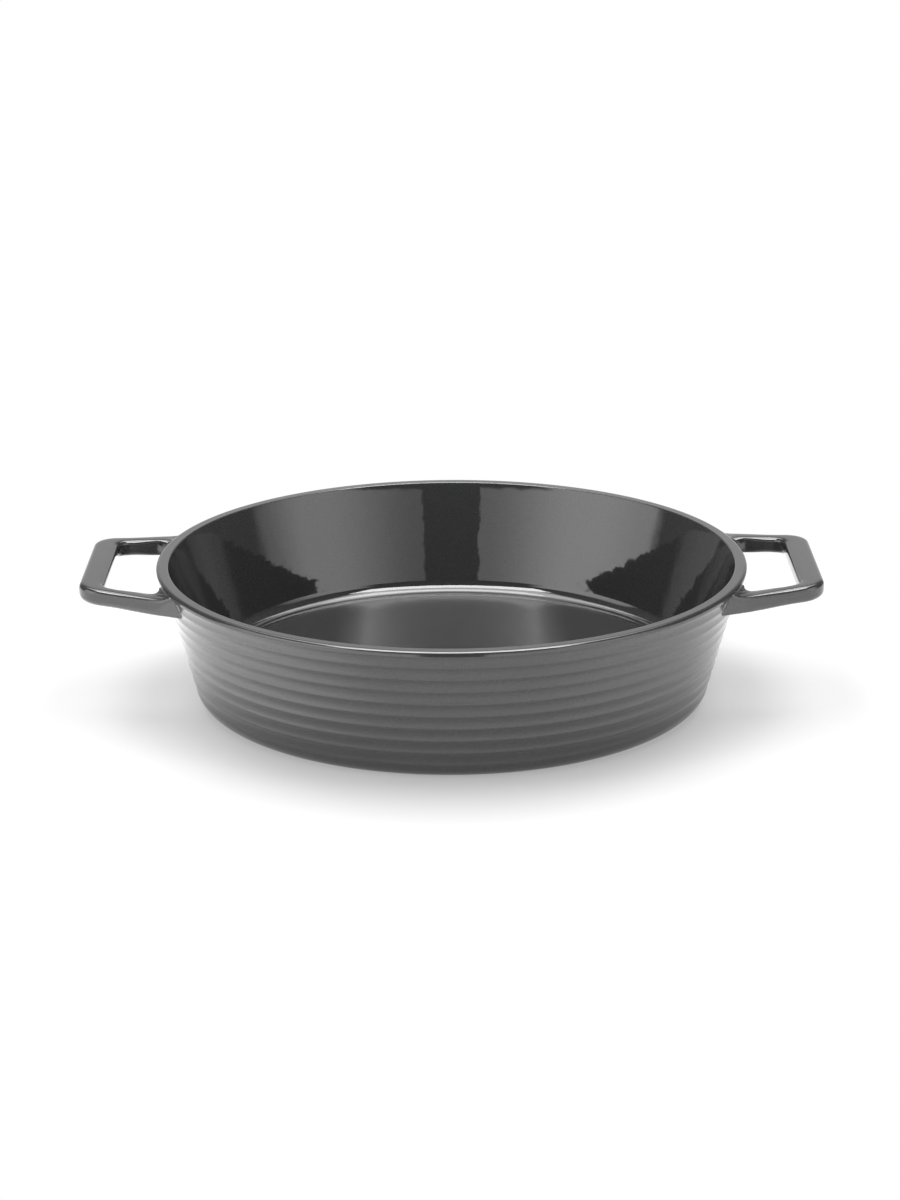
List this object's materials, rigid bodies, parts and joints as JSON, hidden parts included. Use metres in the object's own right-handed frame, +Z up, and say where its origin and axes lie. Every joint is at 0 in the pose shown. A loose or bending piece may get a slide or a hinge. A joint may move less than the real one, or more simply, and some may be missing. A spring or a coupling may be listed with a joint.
{
  "type": "gratin dish",
  "caption": "Round glazed stoneware gratin dish with a tapered fluted wall, a flat rim and open loop handles at rim level.",
  "frame": {"origin": "centre of the foot ring's flat underside", "axes": "+Z up out of the open bowl, +X along the line through both handles"},
  "size_m": [0.3224, 0.26, 0.0612],
  "materials": {
    "glaze": "gloss"
  },
  "bodies": {
    "root": {"dish": "glaze"}
  },
  "joints": []
}
